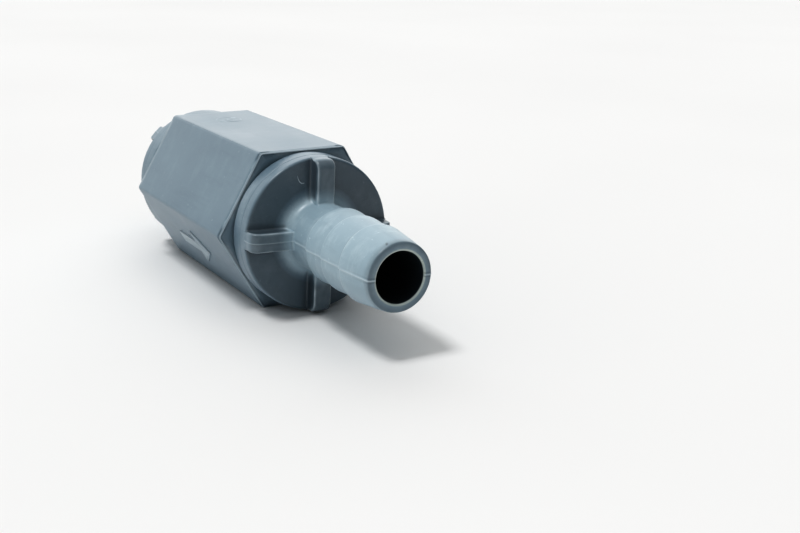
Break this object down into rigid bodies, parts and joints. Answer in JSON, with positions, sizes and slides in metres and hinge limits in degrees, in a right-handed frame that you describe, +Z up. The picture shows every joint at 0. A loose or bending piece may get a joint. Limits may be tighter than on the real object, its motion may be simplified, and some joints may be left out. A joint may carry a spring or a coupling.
{
  "type": "check valve",
  "caption": "In-line spring check valve: hexagonal plastic body with a barbed, ribbed-flange hose tail at each end, lets liquid through one way only.",
  "frame": {"origin": "on the flow axis, halfway between the two tips, which is 5 mm outlet-side of the hexagonal body's middle", "axes": "+X along the flow axis towards the outlet tail, +Z up, the body's top and bottom flats square to Z"},
  "size_m": [0.107, 0.0344, 0.03],
  "materials": {
    "body_plastic": "satin moulded blue-grey",
    "tail_plastic": "satin moulded blue-grey",
    "seal_rubber": "matt black",
    "seat_brass": "turned",
    "poppet_acetal": "black acetal",
    "guide_acetal": "natural acetal",
    "stainless_steel": "brushed",
    "spring_steel": "drawn wire"
  },
  "bodies": {
    "housing": {"valve_body": "body_plastic", "outlet_tail": "tail_plastic", "inlet_tail": "tail_plastic", "outlet_tail_ring": "seal_rubber", "inlet_tail_ring": "seal_rubber", "seat_ring": "seat_brass", "seat_outer_ring": "seal_rubber", "spring_guide": "guide_acetal", "spring_washer": "stainless_steel", "return_spring": "spring_steel"},
    "poppet_group": {"poppet": "poppet_acetal", "poppet_seal": "seal_rubber", "seal_retainer": "poppet_acetal", "retainer_screw": "stainless_steel", "stem_clip": "stainless_steel"}
  },
  "joints": [
    {"name": "poppet_lift", "type": "slide", "parent": "housing", "child": "poppet_group", "axis": [1, 0, 0], "range_m": [0, 0.0045], "stiffness_N_per_m": 150, "springref_m": -0.002, "deforming": ["return_spring"]}
  ]
}
